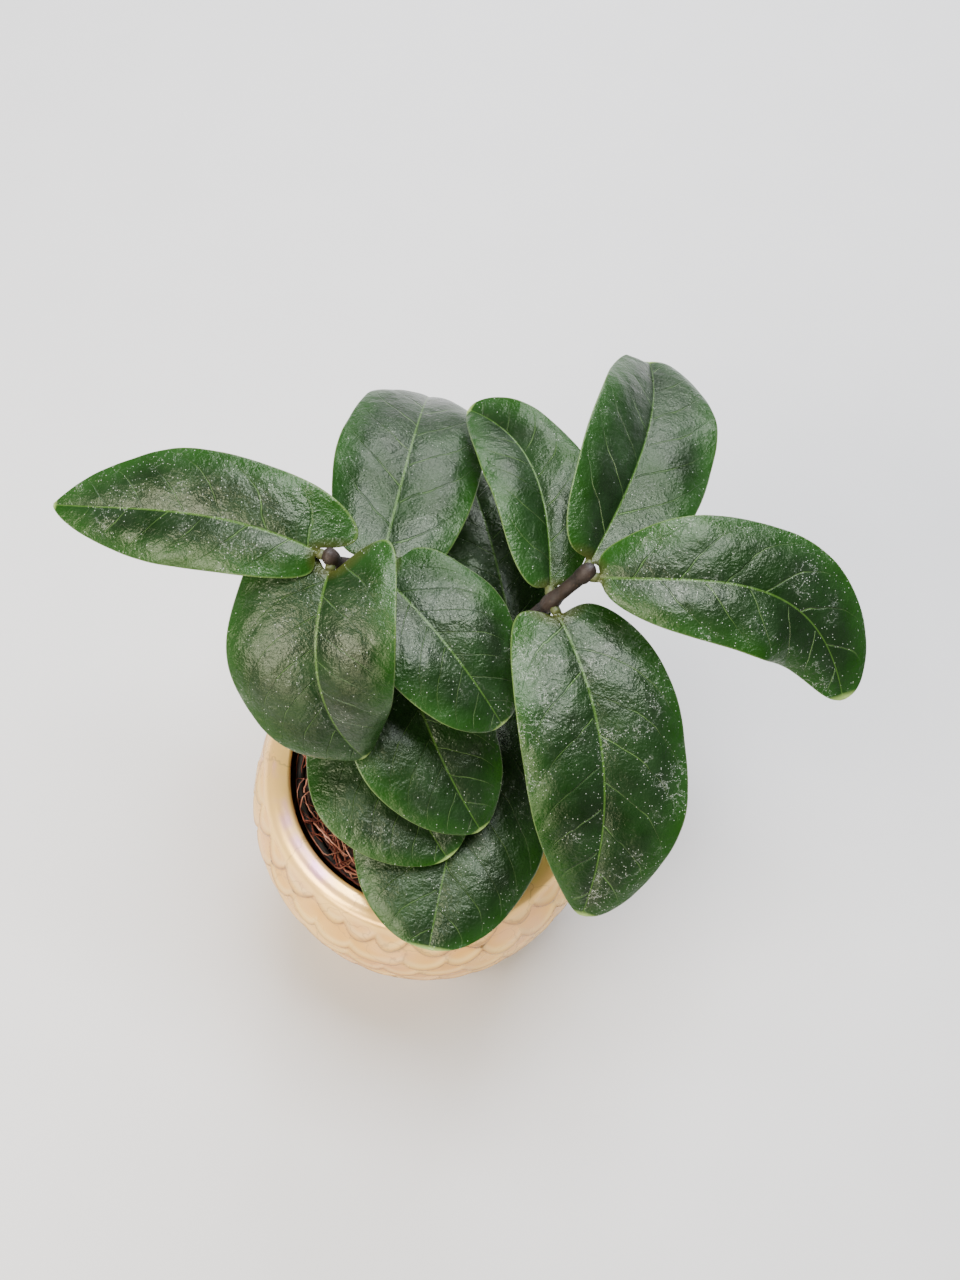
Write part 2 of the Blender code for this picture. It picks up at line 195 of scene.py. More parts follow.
def pearlGlazeMaterial():
    # Glazed stoneware: a cream tin glaze with a pearl lustre fired over it, so it is glassy and pools brown
    # along the outlines of the scales, with painted shade in the recess under each lip.
    # The rim and the upper part of each scale are painted paler, as a painted highlight.
    made, tree, shader, place = newMaterial("pearlGlaze")
    parts = addNode(tree, "SeparateXYZ", {0: place})
    # outline: glaze pooling brown along the scale outlines, and painted shade under each lip
    outlineAndShade = addNode(tree, "Attribute", attribute_name="outlineAndShade").outputs["Fac"]
    # lip: a painted highlight, a pale band on the upper part of each scale
    lip = addNode(tree, "Attribute", attribute_name="lip").outputs["Fac"]
    # cloudy glaze, patches about 30 mm across
    cloud = addNode(tree, "TexNoise", {"Vector": place, "Scale": 34.0, "Detail": 3.0}).outputs["Fac"]
    body = addNode(tree, "ValToRGB", {"Fac": cloud}, stops=((0.35, "#e2a548"), (0.68, "#facb70")))
    # painted highlight: the rim's top and shoulder are painted paler, and so is a band on the upper part of
    # each scale
    onRim = addNode(tree, "MapRange", {0: parts.outputs["Z"], 1: 101 * mm, 2: 107 * mm, 3: 0.0, 4: 0.8})
    rimmed = addNode(tree, "Mix", {"Factor": onRim.outputs[0], 6: body.outputs[0],
                                   7: hexColour("#ffd27e")}, data_type="RGBA")
    lipHighlight = addNode(tree, "Mix", {"Factor": lip, 6: rimmed.outputs[2], 7: hexColour("#fbdc92")},
                      data_type="RGBA")
    # lilac lustre, patches about 20 mm across, strongest along the middle of the rim's top
    lustre = addNode(tree, "TexNoise", {"Vector": place, "Scale": 52.0, "Detail": 2.0}).outputs["Fac"]
    lustreSpots = addNode(tree, "MapRange", {0: lustre, 1: 0.44, 2: 0.64, 3: 0.0, 4: 1.0})
    inner = addNode(tree, "VectorMath", {0: place, 1: (1, 1, 0)}, operation="MULTIPLY").outputs[0]
    fromAxis = addNode(tree, "VectorMath", {0: inner}, operation="LENGTH").outputs["Value"]
    inFrom = addNode(tree, "MapRange", {0: fromAxis, 1: 49.6 * mm, 2: 51.2 * mm, 3: 0.0, 4: 0.9})
    outTo = addNode(tree, "MapRange", {0: fromAxis, 1: 55 * mm, 2: 53.4 * mm, 3: 0.0, 4: 0.9})
    rimBand = addNode(tree, "Math", {0: inFrom.outputs[0], 1: outTo.outputs[0]}, operation="MINIMUM")
    topOnly = addNode(tree, "Math", {0: rimBand.outputs[0], 1: onRim.outputs[0]}, operation="MINIMUM")
    lustreWhere = addNode(tree, "Math", {0: topOnly.outputs[0], 1: 0.1}, operation="MAXIMUM")
    lustreShare = addNode(tree, "Math", {0: lustreSpots.outputs[0], 1: lustreWhere.outputs[0]},
                          operation="MULTIPLY")
    pearl = addNode(tree, "Mix", {"Factor": lustreShare.outputs[0], 6: lipHighlight.outputs[2],
                                  7: hexColour("#d488d8")}, data_type="RGBA")
    # glaze pooling brown in the outlines of the scales, with painted shade in the recess under each
    # overlapping lip
    pooledAndShaded = addNode(tree, "Mix", {"Factor": outlineAndShade, 6: pearl.outputs[2], 7: hexColour("#5c3f22")},
                     data_type="RGBA")
    # crazing: a few hair lines in cells about 25 mm across
    wander = addNode(tree, "TexNoise", {"Vector": place, "Scale": 90.0, "Detail": 3.0}).outputs["Color"]
    bentPlace = addNode(tree, "Mix", {"Factor": 0.02, 4: place, 5: wander}, data_type="VECTOR")
    craze = addNode(tree, "TexVoronoi", {"Vector": bentPlace.outputs[1], "Scale": 38.0},
                    feature="DISTANCE_TO_EDGE").outputs["Distance"]
    crazeLine = addNode(tree, "MapRange", {0: craze, 1: 0.0, 2: 0.016, 3: 0.4, 4: 0.0})
    crazed = addNode(tree, "Mix", {"Factor": crazeLine.outputs[0], 6: pooledAndShaded.outputs[2],
                                   7: hexColour("#7c6553")}, data_type="RGBA")
    # iron specks under 1 mm across, in one of every seven cells 8 mm across
    grain = addNode(tree, "TexVoronoi", {"Vector": place, "Scale": 120.0})
    chosen = addNode(tree, "SeparateColor", {0: grain.outputs["Color"]})
    rare = addNode(tree, "Math", {0: chosen.outputs[0], 1: 0.86}, operation="GREATER_THAN")
    dot = addNode(tree, "MapRange", {0: grain.outputs["Distance"], 1: 0.05, 2: 0.025, 3: 0.0, 4: 0.8})
    speck = addNode(tree, "Math", {0: dot.outputs[0], 1: rare.outputs[0]}, operation="MULTIPLY")
    colour = addNode(tree, "Mix", {"Factor": speck.outputs[0], 6: crazed.outputs[2],
                                   7: hexColour("#5a4436")}, data_type="RGBA")
    # the foot ring is left unglazed
    bare = addNode(tree, "MapRange", {0: parts.outputs["Z"], 1: 1.6 * mm, 2: 0.6 * mm, 3: 0.0, 4: 1.0})
    whole = addNode(tree, "Mix", {"Factor": bare.outputs[0], 6: colour.outputs[2],
                                  7: hexColour("#c9b79c")}, data_type="RGBA")
    # orange-peel of a fired glaze, about 2 mm
    peel = addNode(tree, "TexNoise", {"Vector": place, "Scale": 420.0, "Detail": 2.0}).outputs["Fac"]
    rough = addNode(tree, "MapRange", {0: cloud, 1: 0.3, 2: 0.7, 3: 0.2, 4: 0.32})
    dull = addNode(tree, "Math", {0: rough.outputs[0], 1: bare.outputs[0]}, operation="MAXIMUM")
    bump = addNode(tree, "Bump", {"Height": peel, "Strength": 0.25, "Distance": 0.15 * mm})
    # the lustre is a thin metal film, so part of the sheen takes the colour of the glaze
    setInputs(tree, shader, {"Base Color": whole.outputs[2], "Roughness": dull.outputs[0],
                             "Normal": bump.outputs[0], "Metallic": 0.35, "IOR": 1.38,
                             "Specular Tint": hexColour("#ffdca0"), "Coat Weight": 0.08,
                             "Coat Roughness": 0.12, "Coat IOR": 1.5})
    return made


def leafMaterials():
    # The waxy cuticle of a thick evergreen leaf: dark green cells under a clear glossy skin,
    # a pale midrib and side veins, dust and dried water marks on top.
    made, tree, shader, place = newMaterial("waxyLeaf")
    # fields of the leaf's mesh: mm from the midrib and the margin, and 0 to 1 along the leaf
    phase, fromMidrib, fromMargin, alongLeaf, dust = [
        addNode(tree, "Attribute", attribute_name=field).outputs["Fac"]
        for field in ("veinPhase", "fromMidrib", "fromMargin", "alongLeaf", "dust")]
    # soft patches of lighter green, about 15 mm
    patch = addNode(tree, "TexNoise", {"Vector": place, "Scale": 70.0, "Detail": 4.0}).outputs["Fac"]
    green = addNode(tree, "ValToRGB", {"Fac": patch}, stops=((0.32, "#091b05"), (0.72, "#0f2c08")))
    # fresher green towards the margin
    edgeGlow = addNode(tree, "MapRange", {0: fromMargin, 1: 9.0, 2: 0.5, 3: 0.0, 4: 0.5})
    fresh = addNode(tree, "Mix", {"Factor": edgeGlow.outputs[0], 6: green.outputs[0],
                                  7: hexColour("#1c4a06")}, data_type="RGBA")
    # side veins: thin lines where the phase comes to a whole number, 12 mm apart, wandering
    wander = addNode(tree, "TexNoise", {"Vector": place, "Scale": 110.0, "Detail": 2.0}).outputs["Fac"]
    wanderStep = addNode(tree, "MapRange", {0: wander, 1: 0.0, 2: 1.0, 3: -0.11, 4: 0.11})
    bentPhase = addNode(tree, "Math", {0: phase, 1: wanderStep.outputs[0]}, operation="ADD")
    toVein = addNode(tree, "Math", {0: bentPhase.outputs[0], 1: 0.5}, operation="PINGPONG")
    veinWidth = addNode(tree, "MapRange", {0: fromMidrib, 1: 0.0, 2: 26.0, 3: 0.026, 4: 0.012})
    veinNear = addNode(tree, "Math", {0: toVein.outputs[0], 1: veinWidth.outputs[0]}, operation="DIVIDE")
    vein = addNode(tree, "MapRange", {0: veinNear.outputs[0], 1: 1.4, 2: 0.3, 3: 0.0, 4: 1.0},
                   interpolation_type="SMOOTHSTEP")
    veinFade = addNode(tree, "MapRange", {0: fromMargin, 1: 1.5, 2: 9.0, 3: 0.0, 4: 1.0})
    patchFade = addNode(tree, "MapRange", {0: wander, 1: 0.38, 2: 0.62, 3: 0.05, 4: 0.4})
    veinShare = addNode(tree, "Math", {0: vein.outputs[0], 1: veinFade.outputs[0]}, operation="MULTIPLY")
    veinShown = addNode(tree, "Math", {0: veinShare.outputs[0], 1: patchFade.outputs[0]},
                        operation="MULTIPLY")
    veined = addNode(tree, "Mix", {"Factor": veinShown.outputs[0], 6: fresh.outputs[2],
                                   7: hexColour("#5f8341")}, data_type="RGBA")
    # midrib: 1.6 mm wide at the base, a hair line at the tip
    ribWidth = addNode(tree, "MapRange", {0: alongLeaf, 1: 0.0, 2: 1.0, 3: 0.65, 4: 0.22})
    ribNear = addNode(tree, "Math", {0: fromMidrib, 1: ribWidth.outputs[0]}, operation="DIVIDE")
    rib = addNode(tree, "MapRange", {0: ribNear.outputs[0], 1: 1.2, 2: 0.35, 3: 0.0, 4: 0.45},
                  interpolation_type="SMOOTHSTEP")
    ribbed = addNode(tree, "Mix", {"Factor": rib.outputs[0], 6: veined.outputs[2],
                                   7: hexColour("#4c7026")}, data_type="RGBA")
    # margin: a hard pale rim 0.5 mm wide, and the pale point of the tip
    edge = addNode(tree, "MapRange", {0: fromMargin, 1: 0.5, 2: 0.1, 3: 0.0, 4: 0.22})
    point = addNode(tree, "MapRange", {0: alongLeaf, 1: 0.982, 2: 0.995, 3: 0.0, 4: 0.9})
    pale = addNode(tree, "Math", {0: edge.outputs[0], 1: point.outputs[0]}, operation="MAXIMUM")
    rimmed = addNode(tree, "Mix", {"Factor": pale.outputs[0], 6: ribbed.outputs[2],
                                   7: hexColour("#8ba35a")}, data_type="RGBA")
    # the short stalk goes from brown to green
    stalk = addNode(tree, "MapRange", {0: alongLeaf, 1: 0.07, 2: 0.03, 3: 0.0, 4: 0.8})
    stalked = addNode(tree, "Mix", {"Factor": stalk.outputs[0], 6: rimmed.outputs[2],
                                    7: hexColour("#35300f")}, data_type="RGBA")
    # dust: grains about 0.3 mm across in drifts about 12 mm across
    grain = addNode(tree, "TexVoronoi", {"Vector": place, "Scale": 1300.0})
    chosen = addNode(tree, "SeparateColor", {0: grain.outputs["Color"]})
    drift = addNode(tree, "TexNoise", {"Vector": place, "Scale": 85.0, "Detail": 3.0}).outputs["Fac"]
    driftShare = addNode(tree, "MapRange", {0: drift, 1: 0.36, 2: 0.68, 3: 0.03, 4: 0.5})
    density = addNode(tree, "Math", {0: driftShare.outputs[0], 1: dust}, operation="MULTIPLY")
    picked = addNode(tree, "Math", {0: chosen.outputs[0], 1: density.outputs[0]}, operation="LESS_THAN")
    dot = addNode(tree, "MapRange", {0: grain.outputs["Distance"], 1: 0.22, 2: 0.08, 3: 0.0, 4: 0.7})
    speck = addNode(tree, "Math", {0: dot.outputs[0], 1: picked.outputs[0]}, operation="MULTIPLY")
    # dried water: thin broken rings about 5 mm across
    ringNoise = addNode(tree, "TexNoise", {"Vector": place, "Scale": 190.0, "Detail": 5.0,
                                           "Roughness": 0.62}).outputs["Fac"]
    ringNear = addNode(tree, "Math", {0: ringNoise, 1: 0.5}, operation="SUBTRACT")
    ringAway = addNode(tree, "Math", {0: ringNear.outputs[0]}, operation="ABSOLUTE")
    ring = addNode(tree, "MapRange", {0: ringAway.outputs[0], 1: 0.009, 2: 0.0, 3: 0.0, 4: 0.3})
    ringWhere = addNode(tree, "MapRange", {0: drift, 1: 0.52, 2: 0.66, 3: 0.0, 4: 1.0})
    ringShare = addNode(tree, "Math", {0: ring.outputs[0], 1: ringWhere.outputs[0]}, operation="MULTIPLY")
    ringShown = addNode(tree, "Math", {0: ringShare.outputs[0], 1: dust}, operation="MULTIPLY")
    marks = addNode(tree, "Math", {0: speck.outputs[0], 1: ringShown.outputs[0]}, operation="MAXIMUM")
    # a grey bloom of dust lies thinly over all
    bloom = addNode(tree, "MapRange", {0: drift, 1: 0.3, 2: 0.75, 3: 0.0, 4: 0.03})
    bloomed = addNode(tree, "Mix", {"Factor": bloom.outputs[0], 6: stalked.outputs[2],
                                    7: hexColour("#8d968a")}, data_type="RGBA")
    colour = addNode(tree, "Mix", {"Factor": marks.outputs[0], 6: bloomed.outputs[2],
                                   7: hexColour("#d8dccf")}, data_type="RGBA")
    gloss = addNode(tree, "MapRange", {0: patch, 1: 0.3, 2: 0.7, 3: 0.26, 4: 0.38})
    dusty = addNode(tree, "Math", {0: marks.outputs[0], 1: 0.4, 2: gloss.outputs[0]},
                    operation="MULTIPLY_ADD")
    # relief: sunken veins, 4 mm puckers and the 0.8 mm grain of the skin
    pucker = addNode(tree, "TexNoise", {"Vector": place, "Scale": 240.0, "Detail": 4.0}).outputs["Fac"]
    skin = addNode(tree, "TexNoise", {"Vector": place, "Scale": 1300.0, "Detail": 2.0}).outputs["Fac"]
    veinDip = addNode(tree, "Math", {0: veinShare.outputs[0], 1: -0.55, 2: pucker},
                      operation="MULTIPLY_ADD")
    height = addNode(tree, "Math", {0: skin, 1: 0.3, 2: veinDip.outputs[0]}, operation="MULTIPLY_ADD")
    bump = addNode(tree, "Bump", {"Height": height.outputs[0], "Strength": 0.9, "Distance": 0.8 * mm})
    setInputs(tree, shader, {"Base Color": colour.outputs[2], "Roughness": dusty.outputs[0],
                             "Normal": bump.outputs[0], "IOR": 1.4,
                             "Specular Tint": hexColour("#e6f2d0"), "Coat Weight": 0.06,
                             "Coat Roughness": 0.2})

    # The underside: paler, matt, with the midrib standing out.
    under, tree, shader, place = newMaterial("leafUnderside")
    fromMidrib, alongLeaf, phase = [addNode(tree, "Attribute", attribute_name=field).outputs["Fac"]
                                    for field in ("fromMidrib", "alongLeaf", "veinPhase")]
    patch = addNode(tree, "TexNoise", {"Vector": place, "Scale": 90.0, "Detail": 4.0}).outputs["Fac"]
    green = addNode(tree, "ValToRGB", {"Fac": patch}, stops=((0.3, "#31541d"), (0.75, "#456c2b")))
    toVein = addNode(tree, "Math", {0: phase, 1: 0.5}, operation="PINGPONG")
    vein = addNode(tree, "MapRange", {0: toVein.outputs[0], 1: 0.05, 2: 0.015, 3: 0.0, 4: 0.4})
    rib = addNode(tree, "MapRange", {0: fromMidrib, 1: 1.8, 2: 0.9, 3: 0.0, 4: 0.8})
    lines = addNode(tree, "Math", {0: vein.outputs[0], 1: rib.outputs[0]}, operation="MAXIMUM")
    veined = addNode(tree, "Mix", {"Factor": lines.outputs[0], 6: green.outputs[0],
                                   7: hexColour("#76954b")}, data_type="RGBA")
    stalk = addNode(tree, "MapRange", {0: alongLeaf, 1: 0.08, 2: 0.03, 3: 0.0, 4: 0.85})
    stalked = addNode(tree, "Mix", {"Factor": stalk.outputs[0], 6: veined.outputs[2],
                                    7: hexColour("#35300f")}, data_type="RGBA")
    rough = addNode(tree, "MapRange", {0: patch, 1: 0.3, 2: 0.7, 3: 0.48, 4: 0.62})
    bump = addNode(tree, "Bump", {"Height": lines.outputs[0], "Strength": 0.5, "Distance": 0.3 * mm})
    setInputs(tree, shader, {"Base Color": stalked.outputs[2], "Roughness": rough.outputs[0],
                             "Normal": bump.outputs[0]})
    return made, under


def barkMaterial():
    # Dark brown woody bark: matt, finely ridged, with small pale lenticels.
    made, tree, shader, place = newMaterial("stemBark")
    stretched = addNode(tree, "Mapping", {"Vector": place, "Scale": (1, 1, 0.35)})
    ridge = addNode(tree, "TexNoise", {"Vector": stretched.outputs[0], "Scale": 900.0,
                                       "Detail": 5.0}).outputs["Fac"]
    tone = addNode(tree, "TexNoise", {"Vector": place, "Scale": 140.0, "Detail": 3.0}).outputs["Fac"]
    brown = addNode(tree, "ValToRGB", {"Fac": tone}, stops=((0.35, "#150c06"), (0.7, "#2e1f13")))
    grain = addNode(tree, "TexVoronoi", {"Vector": stretched.outputs[0], "Scale": 650.0})
    dot = addNode(tree, "MapRange", {0: grain.outputs["Distance"], 1: 0.24, 2: 0.1, 3: 0.0, 4: 0.45})
    colour = addNode(tree, "Mix", {"Factor": dot.outputs[0], 6: brown.outputs[0],
                                   7: hexColour("#463526")}, data_type="RGBA")
    rough = addNode(tree, "MapRange", {0: ridge, 1: 0.3, 2: 0.7, 3: 0.5, 4: 0.75})
    bump = addNode(tree, "Bump", {"Height": ridge, "Strength": 0.6, "Distance": 0.4 * mm})
    setInputs(tree, shader, {"Base Color": colour.outputs[2], "Roughness": rough.outputs[0],
                             "Normal": bump.outputs[0]})
    return made


def coirMaterial(name, dark, light):
    # Coconut fibre: dry, hard and matt, each strand its own shade of red-brown.
    made, tree, shader, place = newMaterial(name)
    tone = addNode(tree, "TexNoise", {"Vector": place, "Scale": 170.0, "Detail": 3.0}).outputs["Fac"]
    colour = addNode(tree, "ValToRGB", {"Fac": tone}, stops=((0.38, dark), (0.66, light)))
    fine = addNode(tree, "TexNoise", {"Vector": place, "Scale": 2600.0, "Detail": 2.0}).outputs["Fac"]
    rough = addNode(tree, "MapRange", {0: fine, 1: 0.3, 2: 0.7, 3: 0.55, 4: 0.8})
    bump = addNode(tree, "Bump", {"Height": fine, "Strength": 0.4, "Distance": 0.15 * mm})
    setInputs(tree, shader, {"Base Color": colour.outputs[0], "Roughness": rough.outputs[0],
                             "Normal": bump.outputs[0]})
    return made


def peatMaterial():
    # Damp coir peat: crumbly, almost black red-brown, matt with a few wet glints.
    made, tree, shader, place = newMaterial("coirPeat")
    crumb = addNode(tree, "TexVoronoi", {"Vector": place, "Scale": 420.0})
    tone = addNode(tree, "TexNoise", {"Vector": place, "Scale": 260.0, "Detail": 5.0}).outputs["Fac"]
    colour = addNode(tree, "ValToRGB", {"Fac": tone}, stops=((0.38, "#1c0f0b"), (0.7, "#5a2c1c")))
    rough = addNode(tree, "MapRange", {0: tone, 1: 0.3, 2: 0.7, 3: 0.55, 4: 0.9})
    height = addNode(tree, "Math", {0: crumb.outputs["Distance"], 1: -0.6, 2: tone},
                     operation="MULTIPLY_ADD")
    bump = addNode(tree, "Bump", {"Height": height.outputs[0], "Strength": 0.9, "Distance": 1.2 * mm})
    setInputs(tree, shader, {"Base Color": colour.outputs[0], "Roughness": rough.outputs[0],
                             "Normal": bump.outputs[0]})
    return made


def nurseryPlasticMaterial():
    # Injection-moulded polypropylene with recycled content: dark grey, waxy, faintly scuffed.
    made, tree, shader, place = newMaterial("nurseryPolypropylene")
    scuff = addNode(tree, "TexNoise", {"Vector": place, "Scale": 230.0, "Detail": 5.0}).outputs["Fac"]
    colour = addNode(tree, "ValToRGB", {"Fac": scuff}, stops=((0.4, "#262521"), (0.8, "#47443c")))
    rough = addNode(tree, "MapRange", {0: scuff, 1: 0.3, 2: 0.7, 3: 0.4, 4: 0.6})
    fine = addNode(tree, "TexNoise", {"Vector": place, "Scale": 1500.0, "Detail": 2.0}).outputs["Fac"]
    bump = addNode(tree, "Bump", {"Height": fine, "Strength": 0.2, "Distance": 0.1 * mm})
    setInputs(tree, shader, {"Base Color": colour.outputs[0], "Roughness": rough.outputs[0],
                             "Normal": bump.outputs[0], "IOR": 1.49})
    return made


# Cover pot

coverPot = dict(
    rimRadius=58.5 * mm, rimWidth=10 * mm, shoulder=6.5 * mm, bellyRadius=63 * mm, bellyHeight=80 * mm,
    footRadius=47 * mm, wall=8 * mm, floor=7 * mm, edgeRound=1.5 * mm,
    scalesRound=27, scaleRows=7, scaleHeight=15.0 * mm, scaleDip=8.0 * mm, scaleLift=3.0 * mm,
    sideSteps=122, turnSteps=440)


def potRadius(height, top):
    belly = coverPot["bellyHeight"]
    if height < belly:
        rise = sin(pi / 2 * max(0, height) / belly)
        return coverPot["footRadius"] + (coverPot["bellyRadius"] - coverPot["footRadius"]) * rise
    share = min(1, (height - belly) / (top - coverPot["shoulder"] - belly))
    return coverPot["rimRadius"] + (coverPot["bellyRadius"] - coverPot["rimRadius"]) * cos(pi / 2 * share)


def scaleRelief(bearing, height, top):
    # rows of overlapping scales like roof tiles, each thickest at its lower lip
    rows, lobes = coverPot["scaleRows"], coverPot["scalesRound"]
    relief = np.zeros_like(bearing)
    outlineAndShade = np.zeros_like(bearing)
    lip = np.zeros_like(bearing)
    taken = np.zeros(bearing.shape, bool)
    above = np.full(bearing.shape, top + 20 * mm)
    for row in range(rows + 1):
        rest = top - coverPot["shoulder"] - 4 * mm - row * coverPot["scaleHeight"]
        turn = lobes / 2 * bearing + row * pi / 2 + 0.45 * np.sin(3 * bearing + 1.7 * row)
        turn = turn + 0.35 * np.sin(7 * bearing + 2.9 * row)
        round_ = np.abs(np.cos(turn)) ** 0.62
        edge = rest - coverPot["scaleDip"] * (round_ - 0.5)
        edge = edge + mm * (1.8 * np.sin(5 * bearing + 1.3 * row) + 1.4 * np.sin(11 * bearing + 2.1 * row)
                            + 0.8 * np.sin(23 * bearing + 4.0 * row))
        mine = ~taken & (height >= edge)
        over = np.where(mine, height - edge, 0)
        under = np.where(mine, above - height, 1)
        thick = np.exp(-over / (6 * mm)) * (1 - 0.7 * np.exp(-over / (1.1 * mm)))
        thick = thick + 0.3 * np.exp(-(under / (1.0 * mm)) ** 2)
        relief = np.where(mine, coverPot["scaleLift"] * (thick - 0.42) + 0.25 * mm * round_, relief)
        # outline: dark under the overhanging lip of the scale above and along this scale's down-turned lower
        # edge; glaze pooling brown there, plus painted shade
        outline = 0.8 * np.exp(-(under / (1.7 * mm)) ** 1.6) + 0.8 * np.exp(-(over / (2.5 * mm)) ** 2)
        outlineAndShade = np.where(mine, np.minimum(1, outline), outlineAndShade)
        # painted highlight: a pale band on the upper part of each scale, above its crest
        lip = np.where(mine, np.exp(-((over - 4.8 * mm) / (1.6 * mm)) ** 2), lip)
        taken |= mine
        above = np.minimum(above, edge)
    return relief, outlineAndShade, lip


def makeCoverPot(material):
    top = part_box("ceramic_pot")[1][2]
    shoulder, edgeRound, wall = coverPot["shoulder"], coverPot["edgeRound"], coverPot["wall"]
    rim, mouth = coverPot["rimRadius"], coverPot["rimRadius"] - coverPot["rimWidth"]
    foot, floor = coverPot["footRadius"], coverPot["floor"]
    side = np.linspace(edgeRound, top - shoulder, coverPot["sideSteps"])
    inside = np.linspace(top - 2 * shoulder, floor + 3 * mm, 14)
    profile = [(0, 0), (foot * 0.5, 0), (foot - 2 * edgeRound, 0), (foot - edgeRound, 0)]
    profile += [(potRadius(h, top), h) for h in side]
    profile += arcPoints((rim - shoulder, top - shoulder), shoulder, 8, 90, 12)
    profile += [((rim - shoulder) * (1 - s) + (mouth + edgeRound) * s, top) for s in (0.33, 0.66)]
    profile += arcPoints((mouth + edgeRound, top - edgeRound), edgeRound, 90, 180, 7)
    profile += [(potRadius(h, top) - wall, h) for h in inside]
    profile += [(potRadius(floor + 3 * mm, top) - wall - 3 * mm, floor), (foot * 0.5, floor), (0, floor)]
    pot = spinProfile("glazed_cover_pot", profile, coverPot["turnSteps"])
    places = getPlaces(pot.data)
    radius = np.hypot(places[:, 0], places[:, 1])
    bearing = np.arctan2(places[:, 1], places[:, 0])
    outside = np.array([potRadius(z, top) for z in places[:, 2]])
    onSide = (radius > outside - 1.2 * mm - np.maximum(0, places[:, 2] - top + shoulder) * 1.2)
    onSide &= (places[:, 2] > 0.5 * mm) & (radius > mouth + 4 * mm)
    relief, outlineAndShade, lip = scaleRelief(bearing, places[:, 2], top)
    fadeTop = np.clip((top - 2.5 * mm - places[:, 2]) / (5 * mm), 0, 1)
    fadeFoot = np.clip(places[:, 2] / (7 * mm), 0, 1)
    fade = np.where(onSide, fadeTop * fadeFoot, 0)
    # hand-thrown unevenness of the rim and mouth, about half a millimetre
    uneven = 0.35 * mm * np.sin(3 * bearing + 0.6) + 0.2 * mm * np.sin(5 * bearing + 2.0)
    grow = relief * fade + uneven * np.clip(places[:, 2] / top, 0, 1) * (radius > mouth - 3 * mm)
    scale = (radius + grow) / np.maximum(radius, mm)
    places[:, :2] *= scale[:, None]
    setPlaces(pot.data, places)
    # outline colour: glaze pooling and painted shade under the lips
    addAttribute(pot.data, "outlineAndShade", outlineAndShade * fade)
    # the lip field is a painted highlight on each scale
    addAttribute(pot.data, "lip", 0.6 * lip * fade)
    return finishPiece(pot, material, ["ceramic_pot"])


# Potting mix

pottingMix = dict(crumbs=300, fibres=620, crumbSize=(0.8 * mm, 2.6 * mm), fibreWidth=0.45 * mm,
                 rings=44, turnSteps=150)
mixCrown = 1.5 * mm
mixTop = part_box("potting_mix")[1][2] - mixCrown
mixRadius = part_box("potting_mix")[1][0]
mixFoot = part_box("potting_mix")[0][2]
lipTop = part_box("nursery_pot")[1][2]


def mixHeight(x, y):
    away = min(1, (x * x + y * y) ** 0.5 / mixRadius)
    lumps = noise.noise(Vector((x, y, 0.3)) / (9 * mm)) * 0.9 * mm
    grit = noise.noise(Vector((x, y, 0.7)) / (2.6 * mm)) * 0.5 * mm
    heaped = (lipTop - mixTop - 1.0 * mm) * max(0, (away - 0.7) / 0.3) ** 2
    return mixTop + mixCrown * cos(away * pi / 2) + lumps + grit + heaped - 0.3 * mm


def makeMix(material):
    rings = np.linspace(mixRadius * 0.995, 0, pottingMix["rings"])
    base = mixRadius * 0.78
    profile = [(0, mixFoot), (base * 0.5, mixFoot), (base - 2 * mm, mixFoot), (base, mixFoot + 2 * mm)]
    profile += [(base + (mixRadius * 0.99 - base) * s, mixFoot + 2 * mm + (mixTop - 4 * mm - mixFoot) * s)
                for s in (0.33, 0.66, 1.0)]
    profile += [(r, mixTop) for r in rings]
    mix = spinProfile("coir_mix", profile, pottingMix["turnSteps"])
    places = getPlaces(mix.data)
    for i in np.nonzero(places[:, 2] > mixTop - 0.1 * mm)[0]:
        places[i, 2] = mixHeight(places[i, 0], places[i, 1])
    setPlaces(mix.data, places)
    return finishPiece(mix, material, ["potting_mix"])


def makeCrumbs(material):
    # lumps of peat and bark, one small sphere copied and squashed
    deselectAll()
    bpy.ops.mesh.primitive_ico_sphere_add(subdivisions=1, radius=1)
    seedPiece = bpy.context.object
    crumb = getPlaces(seedPiece.data)
    faces = np.array([list(face.vertices) for face in seedPiece.data.polygons])
    bpy.data.objects.remove(seedPiece)
    shapes, corners = [], []
    for i in range(pottingMix["crumbs"]):
        away = mixRadius * 0.95 * random.random() ** 0.5
        bearing = random.uniform(0, 2 * pi)
        x, y = away * cos(bearing), away * sin(bearing)
        size = random.uniform(*pottingMix["crumbSize"]) / 2
        squash = np.array([random.uniform(0.7, 1.5), random.uniform(0.7, 1.1), random.uniform(0.5, 0.9)])
        turned = Matrix.Rotation(random.uniform(0, pi), 3, "Z")
        turned = turned @ Matrix.Rotation(random.uniform(-1, 1), 3, "X")
        jitter = 1 + 0.25 * np.array([[random.uniform(-1, 1)] for vertex in crumb])
        lump = (crumb * jitter * squash * size) @ np.array(turned).T
        corners.append(faces + len(crumb) * i)
        shapes.append(lump + (x, y, mixHeight(x, y) + size * 0.3))
    mesh = bpy.data.meshes.new("coir_crumbs")
    mesh.from_pydata(np.concatenate(shapes).tolist(), [], np.concatenate(corners).tolist())
    crumbs = bpy.data.objects.new("coir_crumbs", mesh)
    bpy.context.scene.collection.objects.link(crumbs)
    activate(crumbs)
    bpy.ops.object.shade_smooth()
    return finishPiece(crumbs, material)


